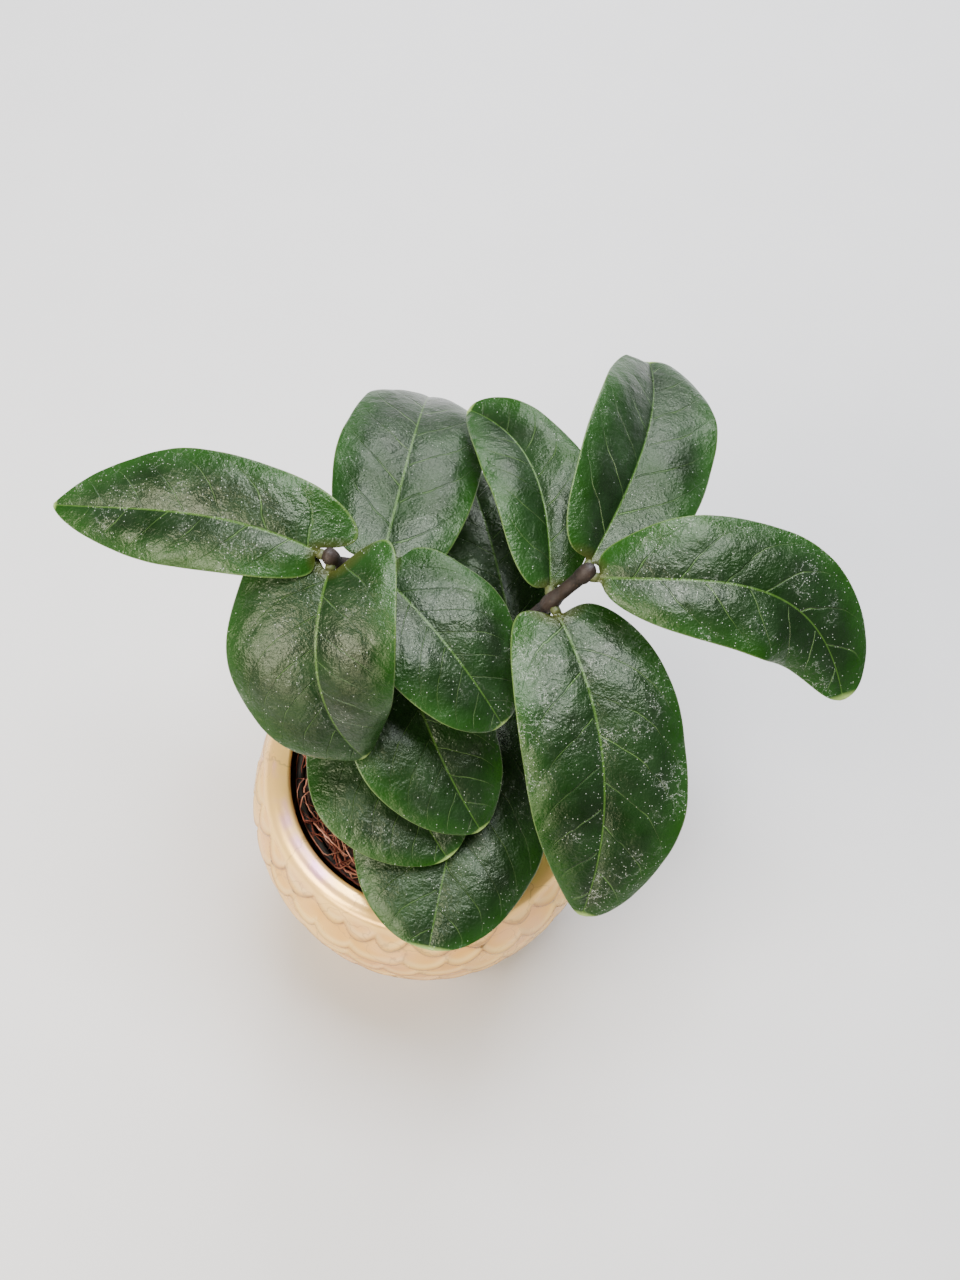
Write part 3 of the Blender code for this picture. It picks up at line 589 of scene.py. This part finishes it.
def fibreLine(x, y, heading, length, curl, lift, steps=10):
    # a springy strand lying on the mix, kept inside the nursery pot
    line = []
    for i in range(steps + 1):
        share = i / steps
        away = (x * x + y * y) ** 0.5
        limit = mixRadius + 3.0 * mm
        if away > limit:
            x, y = x * limit / away, y * limit / away
        overLip = 1.2 * mm * max(0, min(1, (away - mixRadius + 1.5 * mm) / (2 * mm)))
        line.append((x, y, mixHeight(x, y) + 0.25 * mm + overLip + lift * sin(pi * share)))
        x += cos(heading) * length / steps
        y += sin(heading) * length / steps
        heading += curl / steps + 0.35 * sin(2.3 * i + 40 * x / mixRadius)
    return line


def makeFibres(material, paleMaterial):
    lines, paleLines = [], []
    for i in range(pottingMix["fibres"]):
        bearing = random.uniform(0, 2 * pi)
        away = mixRadius * random.uniform(0.1, 1.05) ** 0.5
        heading = bearing + pi / 2 * random.choice((-1, 1)) + random.gauss(0, 0.55)
        length = random.uniform(9, 34) * mm
        curl = random.gauss(0, 0.9) + length / mixRadius * (1 if cos(heading - bearing - pi / 2) > 0 else -1)
        lift = abs(random.gauss(0, 1)) * 1.6 * mm
        line = fibreLine(away * cos(bearing), away * sin(bearing), heading, length, curl, lift)
        width = random.uniform(0.5, 1.5)
        radii = width * np.linspace(1, 0.6, len(line))
        (paleLines if i % 3 == 0 else lines).append((line, radii))
    fibres = strandMesh("coir_fibres", lines, pottingMix["fibreWidth"], material)
    pale = strandMesh("coir_fibres_pale", paleLines, pottingMix["fibreWidth"] * 1.2, paleMaterial)
    finishPiece(pale, paleMaterial)
    return finishPiece(fibres, material)


# Coir strands that lie on top: distance from the axis in mm and bearing in degrees at each end,
# and how far above the mix they lie
strandPlan = {
    "coir_strand_1": ((41, 178), (38, 208), 1.5),
    "coir_strand_2": ((36, 196), (41, 232), 3.0),
    "coir_strand_3": ((41, 212), (33, 226), 0.5),
    "coir_strand_4": ((37, 236), (41, 262), 2.0),
    "coir_strand_5": ((33, 176), (30, 200), 1.0),
}


def makeStrand(name, plan, material):
    low, high = [np.array(corner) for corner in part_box(name)]
    (away0, bearing0), (away1, bearing1), lift = plan
    line = []
    for share in np.linspace(0, 1, 26):
        away = (away0 + (away1 - away0) * share) * mm
        bearing = radians(bearing0 + (bearing1 - bearing0) * share)
        wave = 0.35 * mm * sin(17 * share + away0)
        x, y = (away + wave) * cos(bearing), (away + wave) * sin(bearing)
        rise = low[2] + 0.4 * mm + (high[2] - low[2] - 0.8 * mm) * sin(pi * share)
        line.append((x, y, rise + 0.15 * mm * sin(11 * share + lift)))
    radii = 0.9 - 0.3 * np.linspace(0, 1, 26)
    strand = strandMesh("fine_" + name, [(line, radii)], 0.8 * mm, material, bevelSteps=2)
    return finishPiece(strand, material, [name])


# Stems: x and y in mm, and height as a share of the stem above its foot

stems = dict(height=105 * mm, sunk=4.5 * mm, depth=24 * mm, radius=2.9 * mm, tipRadius=2.3 * mm)
stemFoot = mixTop - stems["sunk"]
stemPlan = {
    "left_stem": [(-14, 20, 0.00), (-14, 22, 0.14), (-14, 26, 0.38), (-15, 33, 0.65),
                  (-19, 38, 0.80), (-26, 37, 0.87), (-33, 34, 0.94), (-35, 33, 1.00)],
    "right_stem": [(17, 21, 0.00), (18, 23, 0.13), (21, 28, 0.38), (26, 32, 0.65),
                   (34, 34, 0.83), (44, 38, 0.99)],
}


def smoothLine(points, steps):
    points = np.array(points, float)
    points = np.vstack([2 * points[0] - points[1], points, 2 * points[-1] - points[-2]])
    line = []
    for a, b, c, d in zip(points, points[1:], points[2:], points[3:]):
        for t in np.arange(steps) / steps:
            line.append(0.5 * (2 * b + (c - a) * t + (2 * a - 5 * b + 4 * c - d) * t ** 2
                               + (3 * b - a - 3 * c + d) * t ** 3))
    return np.array(line + [points[-2]])


def stemLine(name, steps):
    points = [np.array((x * mm, y * mm, stemFoot + share * stems["height"]))
              for x, y, share in stemPlan[name]]
    buried = points[0] - (0, 2 * mm, stems["depth"])
    return smoothLine([buried] + points, steps)


def stemRadius(height):
    share = np.clip((height - stemFoot) / stems["height"], 0, 1)
    return stems["radius"] + (stems["tipRadius"] - stems["radius"]) * share


def leafRoot(leaf):
    line = stemLine(leaf["stem"], 4)
    height = stemFoot + leaf["at"] * stems["height"]
    i = int(np.argmax(line[:, 2] >= height))
    share = (height - line[i - 1, 2]) / (line[i, 2] - line[i - 1, 2])
    return line[i - 1] + share * (line[i] - line[i - 1]), unit(line[i] - line[i - 1]), stemRadius(height)


def makeStem(name, material):
    # a tube with a swollen ring where each leaf leaves it
    line = stemLine(name, 14)
    joints = [leafRoot({**plainLeaf, **leaf})[0] for leaf in leaves.values() if leaf["stem"] == name]
    radii = []
    for place in line:
        swell = sum(0.22 * np.exp(-(np.linalg.norm(place - joint) / (2.2 * mm)) ** 2) for joint in joints)
        radii.append((stemRadius(place[2]) * (0.93 + min(0.22, swell))) / stems["radius"])
    tip = line[-1] + unit(line[-1] - line[-2]) * np.array([[0.8], [1.6], [2.2]]) * mm
    line = np.vstack([line, tip])
    radii += [radii[-1] * share for share in (0.8, 0.5, 0.12)]
    stem = strandMesh("bark_" + name, [(line, radii)], 2 * stems["radius"], material, bevelSteps=6)
    places = getPlaces(stem.data)
    stem.data.update()
    normals = np.array([list(vertex.normal) for vertex in stem.data.vertices])
    knobs = noiseAt(places, 3.2 * mm, 4.1) * 0.28 * mm
    setPlaces(stem.data, places + normals * knobs[:, None])
    return finishPiece(stem, material, [name])


# Leaves: where each leaves its stem (share of the stem's height), the way to its tip in mm, the
# way its glossy side faces, and left and right of the midrib as seen from the stem

plainLeaf = dict(arch=(10, 10), sway=(0, 0), fold=(12, 12), cup=(30, 30), wide=0.9, blunt=(0.5, 0.5),
                 lobe=(0.2, 0.2), quilt=0.22, dust=0.5)
leaves = {
    "left_leaf_1": dict(stem="left_stem", at=0.35, reach=(24, -62, -4), face=(0, -0.2, 1), half=(26, 31),
                        arch=(8, 8), sway=(12, 8), blunt=(0.5, 0.6), quilt=0.3),
    "left_leaf_2": dict(stem="left_stem", at=0.54, reach=(34, -58, -17), face=(0.1, -0.2, 1), half=(22, 26),
                        sway=(5, 5), blunt=(0.5, 0.65)),
    "left_leaf_3": dict(stem="left_stem", at=0.82, reach=(43, -41, -15), face=(0.2, -0.2, 1), half=(24, 21),
                        lobe=(0.35, 0.3)),
    "left_leaf_4": dict(stem="left_stem", at=0.82, reach=(6, 93, -42), face=(0.05, -0.1, 1), half=(24, 25),
                        arch=(20, 26), wide=0.8, lobe=(0.2, 0.35), dust=0.3),
    "left_leaf_5": dict(stem="left_stem", at=0.97, reach=(15, -48, -41), face=(-0.25, -0.4, 1),
                        half=(26, 30), arch=(16, 18), sway=(8, 8), fold=(20, 12), cup=(35, 35), wide=0.75,
                        blunt=(0.6, 0.8), lobe=(0.6, 0.5)),
    "left_leaf_6": dict(stem="left_stem", at=0.985, reach=(-90, 14, -12), face=(0.05, -0.3, 1),
                        half=(17, 21), arch=(12, 6), sway=(8, 2), blunt=(0.7, 0.85), lobe=(0.35, 0.8),
                        quilt=0.4, dust=0.9),
    "right_leaf_1": dict(stem="right_stem", at=0.30, reach=(-13, -91, -10), face=(0, -0.1, 1),
                         half=(31, 34), arch=(3, 5), fold=(10, 10), cup=(40, 30), sway=(2, 2), wide=1.15,
                         blunt=(0.48, 0.48), quilt=0.3, dust=0.8),
    "right_leaf_2": dict(stem="right_stem", at=0.57, reach=(-22, 66, -7), face=(0.1, -0.2, 1),
                         half=(22, 22)),
    "right_leaf_3": dict(stem="right_stem", at=0.83, reach=(-33, 70, -5), face=(0.1, -0.3, 1),
                         half=(18, 17), sway=(10, 16), fold=(35, 15), blunt=(0.6, 0.5), lobe=(0.2, 0.0),
                         dust=0.3),
    "right_leaf_4": dict(stem="right_stem", at=0.83, reach=(20, -87, -45), face=(0.1, -0.2, 1),
                         half=(28, 25), arch=(18, 18), sway=(-11, -11), blunt=(0.55, 0.65), lobe=(0.2, 0.5),
                         quilt=0.45, dust=1.2),
    "right_leaf_5": dict(stem="right_stem", at=0.97, reach=(18, 94, -21), face=(0, -0.2, 1),
                         half=(22, 24), arch=(12, 12), sway=(7, 9), fold=(45, 10), blunt=(0.4, 0.5),
                         dust=0.3),
    "right_leaf_6": dict(stem="right_stem", at=0.97, reach=(85, -23, -23), face=(0.1, -0.25, 1),
                         half=(22, 20), arch=(18, 17), sway=(-8, -33), wide=1.05, lobe=(0.3, 0.0),
                         quilt=0.4, dust=1.1),
}
leafBuild = dict(rows=88, columns=20, thickness=0.8 * mm, stalkWidth=2.6 * mm, stalkThickness=2.4 * mm,
                 stalkShare=0.035, tipWidth=1.0 * mm, veins=7, veinSlope=0.8)


def leafMidrib(leaf, shares):
    centre, along, radius = leafRoot(leaf)
    reach = np.array(leaf["reach"]) * mm
    outward = unit(reach - (reach @ along) * along)
    start = centre + outward * (radius - 0.4 * mm)      # let in to the bark
    tip = centre + reach
    face = unit(leaf["face"])
    chord = tip - start
    up = unit(face - (face @ unit(chord)) * unit(chord))
    right = np.cross(unit(chord), up)
    first, second = [start + chord * share + (arch * up + sway * right) * mm
                     for share, arch, sway in zip((1 / 3, 2 / 3), leaf["arch"], leaf["sway"])]
    t = shares[:, None]
    points = ((1 - t) ** 3 * start + 3 * (1 - t) ** 2 * t * first
              + 3 * (1 - t) * t ** 2 * second + t ** 3 * tip)
    ahead = unit((1 - t) ** 2 * (first - start) + 2 * (1 - t) * t * (second - first)
                 + t ** 2 * (tip - second))
    out = unit(face - (ahead @ face)[:, None] * ahead)
    return points, ahead, np.cross(ahead, out), out


def leafGrid(leaf, number):
    # the glossy face of a leaf as rows of places, with the fields its veins are drawn from
    rows, columns = leafBuild["rows"], leafBuild["columns"]
    steps = np.linspace(0, 1, rows)
    shares = 0.6 * steps + 0.4 * (0.5 - 0.5 * np.cos(pi * steps))
    midrib, ahead, across, out = leafMidrib(leaf, shares)
    length = np.linalg.norm(np.diff(midrib, axis=0), axis=1).sum()
    stalk = leafBuild["stalkShare"]
    blade = np.clip((shares - stalk) / (1 - stalk), 0, 1)
    narrowest = 0.5 * np.where(shares < 0.5, leafBuild["stalkWidth"], leafBuild["tipWidth"])
    flat = np.minimum(1, (1 - shares) / 0.05)
    width = 2 * columns + 1
    places = np.zeros((rows, width, 3))
    fields = {name: np.zeros((rows, width)) for name in
              ("veinPhase", "fromMidrib", "fromMargin", "alongLeaf", "thick")}
    places[:, columns] = midrib
    looks = np.zeros_like(places)
    looks[:, columns] = out
    wave = random.Random(number)
    waves = [wave.uniform(0, 2 * pi) for i in range(4)]
    for k, hand in enumerate((-1, 1)):
        half = leaf["half"][k] * mm
        power = 0.45 + (leaf["blunt"][k] - 0.45) * blade
        swell = np.sin(pi * blade ** leaf["wide"]).clip(0, 1) ** power
        reachOut = np.maximum(swell * half, narrowest)
        back = leaf["lobe"][k] * 2 * half * np.minimum(1, 1.2 * swell) * (1 - shares) ** 3
        line = midrib.copy()
        for column in range(1, columns + 1):
            outwards = column / columns
            slope = flat * radians(leaf["fold"][k] - leaf["cup"][k] * (outwards - 0.5 / columns))
            turn = flat * radians(leaf["fold"][k] - leaf["cup"][k] * outwards)
            line = line + (reachOut / columns)[:, None] * (np.cos(slope)[:, None] * hand * across
                                                           + np.sin(slope)[:, None] * out)
            look = np.cos(turn)[:, None] * out - np.sin(turn)[:, None] * hand * across
            place = line - ahead * (back * outwards ** 2)[:, None]
            side = reachOut * outwards
            phase = leafBuild["veins"] * (shares - (leafBuild["veinSlope"] * side
                                                    + 0.5 * side * outwards ** 3) / length) + 0.13
            phase = phase + (0.45 if hand > 0 else 0.0)
            # the blade bulges between its side veins, and waves a little at the margin
            between = np.abs(np.sin(pi * phase)) ** 0.8
            bulge = leaf["quilt"] * mm * between * (outwards * (1.15 - outwards) * 3.2) * swell
            ripple = 0.9 * mm * outwards ** 3 * swell * np.sin(2 * pi * (2.6 * shares) + waves[k])
            lump = 2 * pi * (1.7 * shares + 0.8 * outwards) + waves[2 + k]
            lump = 0.5 * mm * swell * outwards * np.sin(lump)
            at = columns + hand * column
            coarse = 0.5 * noiseAt(place, 19 * mm, number) + 0.16 * noiseAt(place, 7 * mm, number + 5)
            lumps = lump + mm * swell * min(1, 2.5 * outwards) * coarse
            places[:, at] = place + look * (bulge + ripple + lumps)[:, None]
            looks[:, at] = look
            fields["veinPhase"][:, at] = phase
            fields["fromMidrib"][:, at] = side / mm
            fields["fromMargin"][:, at] = (reachOut - side) / mm
        fields["veinPhase"][:, columns] += 0.5 * (leafBuild["veins"] * shares + 0.13)
        fields["fromMargin"][:, columns] += 0.5 * reachOut / mm
    # the midrib lies in a narrow groove, and stands out below
    away = fields["fromMidrib"]
    groove = 0.4 * mm * np.exp(-(away / 1.1) ** 2) * blade[:, None] * (1 - 0.6 * shares[:, None])
    places -= looks * groove[..., None]
    fields["alongLeaf"][:] = shares[:, None]
    fade = np.linspace(1, 0.2, rows)[:, None]
    rib = (leafBuild["stalkThickness"] - leafBuild["thickness"]) * fade * np.exp(-(away / 2.2) ** 2)
    margin = np.clip(fields["fromMargin"] / 1.5, 0.45, 1)
    inStalk = (shares < stalk * 1.6)[:, None]
    thick = (leafBuild["thickness"] + rib) * np.where(inStalk, 1, margin)
    fields["thick"][:] = thick / leafBuild["stalkThickness"]
    return places + looks * (leafBuild["thickness"] / 2), fields


def makeLeaf(name, leaf, number, materials):
    leaf = {**plainLeaf, **leaf}
    rows, width = leafBuild["rows"], 2 * leafBuild["columns"] + 1
    deselectAll()
    bpy.ops.mesh.primitive_grid_add(x_subdivisions=width - 1, y_subdivisions=rows - 1, size=1)
    piece = bpy.context.object
    piece.name = "fine_" + name
    start = getPlaces(piece.data)
    column = np.rint((start[:, 0] + 0.5) * (width - 1)).astype(int)
    row = np.rint((start[:, 1] + 0.5) * (rows - 1)).astype(int)
    places, fields = leafGrid(leaf, number)
    setPlaces(piece.data, places[row, column])
    for field in ("veinPhase", "fromMidrib", "fromMargin", "alongLeaf"):
        addAttribute(piece.data, field, fields[field][row, column])
    addAttribute(piece.data, "dust", np.full(len(row), leaf["dust"]))
    group = piece.vertex_groups.new(name="thick")
    for i, weight in enumerate(fields["thick"][row, column]):
        group.add([i], float(weight), "REPLACE")
    for material in materials:
        piece.data.materials.append(material)
    wall = piece.modifiers.new("wall", "SOLIDIFY")
    wall.thickness = leafBuild["stalkThickness"]
    wall.offset = -1
    wall.vertex_group = "thick"
    wall.material_offset = 1
    smooth = piece.modifiers.new("smooth", "SUBSURF")
    smooth.levels = smooth.render_levels = 1
    applyModifiers(piece)
    bpy.ops.object.shade_smooth()
    piece.vertex_groups.clear()
    return finishPiece(piece, materials[0], [name])


# Build

glaze = pearlGlazeMaterial()
waxyLeaf, leafUnderside = leafMaterials()
bark = barkMaterial()
coir = coirMaterial("coirFibre", "#5e2416", "#a25640")
paleCoir = coirMaterial("coirFibrePale", "#a8664c", "#d89c84")
peat = peatMaterial()
plastic = nurseryPlasticMaterial()
print("materials ready")

makeCoverPot(glaze)
print("cover pot ready")

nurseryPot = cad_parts["nursery_pot"]
for place in nurseryPot.material_slots:
    place.material = plastic
makeMix(peat)
makeCrumbs(peat)
makeFibres(coir, paleCoir)
for name, plan in strandPlan.items():
    makeStrand(name, plan, paleCoir)
print("nursery pot and mix ready")

for name in stemPlan:
    makeStem(name, bark)
for number, (name, leaf) in enumerate(leaves.items()):
    makeLeaf(name, leaf, number, (waxyLeaf, leafUnderside))
print("stems and leaves ready")


# Floor, lights and camera

studio = dict(floorColour="#d9d8d5", skyColour="#e6ebf2", skyStrength=0.22,
              lens=42.19, cameraPlace=(0.013, -0.170, 0.607), lookDown=66.0, roll=6.0)


def makeFloor():
    # matt painted board, with a faint mottle about 40 mm across
    deselectAll()
    bpy.ops.mesh.primitive_plane_add(size=6)
    floor = bpy.context.object
    floor.name = "studio_floor"
    made, tree, shader, place = newMaterial("paintedBoard")
    mottle = addNode(tree, "TexNoise", {"Vector": place, "Scale": 25.0, "Detail": 2.0}).outputs["Fac"]
    colour = addNode(tree, "Mix", {"Factor": mottle, 6: hexColour(studio["floorColour"]),
                                   7: hexColour("#d4d3d0")}, data_type="RGBA")
    setInputs(tree, shader, {"Base Color": colour.outputs[2], "Roughness": 0.85})
    floor.data.materials.append(made)


def addSoftbox(name, place, target, size, power, colour):
    light = bpy.data.lights.new(name, "AREA")
    light.shape = "RECTANGLE"
    light.size, light.size_y = size
    light.energy = power
    light.color = hexColour(colour)[:3]
    lamp = bpy.data.objects.new(name, light)
    bpy.context.scene.collection.objects.link(lamp)
    lamp.location = place
    lamp.rotation_euler = (Vector(target) - Vector(place)).to_track_quat("-Z", "Y").to_euler()


# name: place, target and size in metres, power in watts, colour
softboxes = {
    "window_light": ((-0.75, -0.5, 0.95), (0, 0, 0.12), (0.6, 0.5), 23, "#fff6ea"),
    "low_front_light": ((-0.45, -0.95, 0.5), (0, 0, 0.08), (0.7, 0.3), 7, "#fff0dc"),
    "sky_light": ((0.1, 0.3, 1.35), (0, 0, 0.1), (0.7, 0.6), 34, "#f1f5ff"),
    "back_light": ((0.15, 1.15, 0.85), (0, 0, 0.15), (0.9, 0.5), 20, "#f4f6ff"),
}
makeFloor()
for name, box in softboxes.items():
    addSoftbox(name, *box)

world = bpy.data.worlds.new("soft_sky")
bpy.context.scene.world = world
world.use_nodes = True
background = world.node_tree.nodes["Background"]
background.inputs["Color"].default_value = hexColour(studio["skyColour"])
background.inputs["Strength"].default_value = studio["skyStrength"]

down, roll = radians(studio["lookDown"]), radians(studio["roll"])
ahead = Vector((0, cos(down), -sin(down)))
levelUp, levelRight = Vector((0, sin(down), cos(down))), Vector((1, 0, 0))
right = cos(roll) * levelRight + sin(roll) * levelUp
up = -sin(roll) * levelRight + cos(roll) * levelUp
lens = bpy.data.cameras.new("camera")
lens.lens = studio["lens"]
lens.sensor_width = 36
lens.sensor_fit = "AUTO"
lens.clip_start = 0.01
camera = bpy.data.objects.new("camera", lens)
bpy.context.scene.collection.objects.link(camera)
turn = Matrix((right, up, -ahead)).transposed().to_4x4()
turn.translation = Vector(studio["cameraPlace"])
camera.matrix_world = turn
bpy.context.scene.camera = camera
print("lights and camera ready")
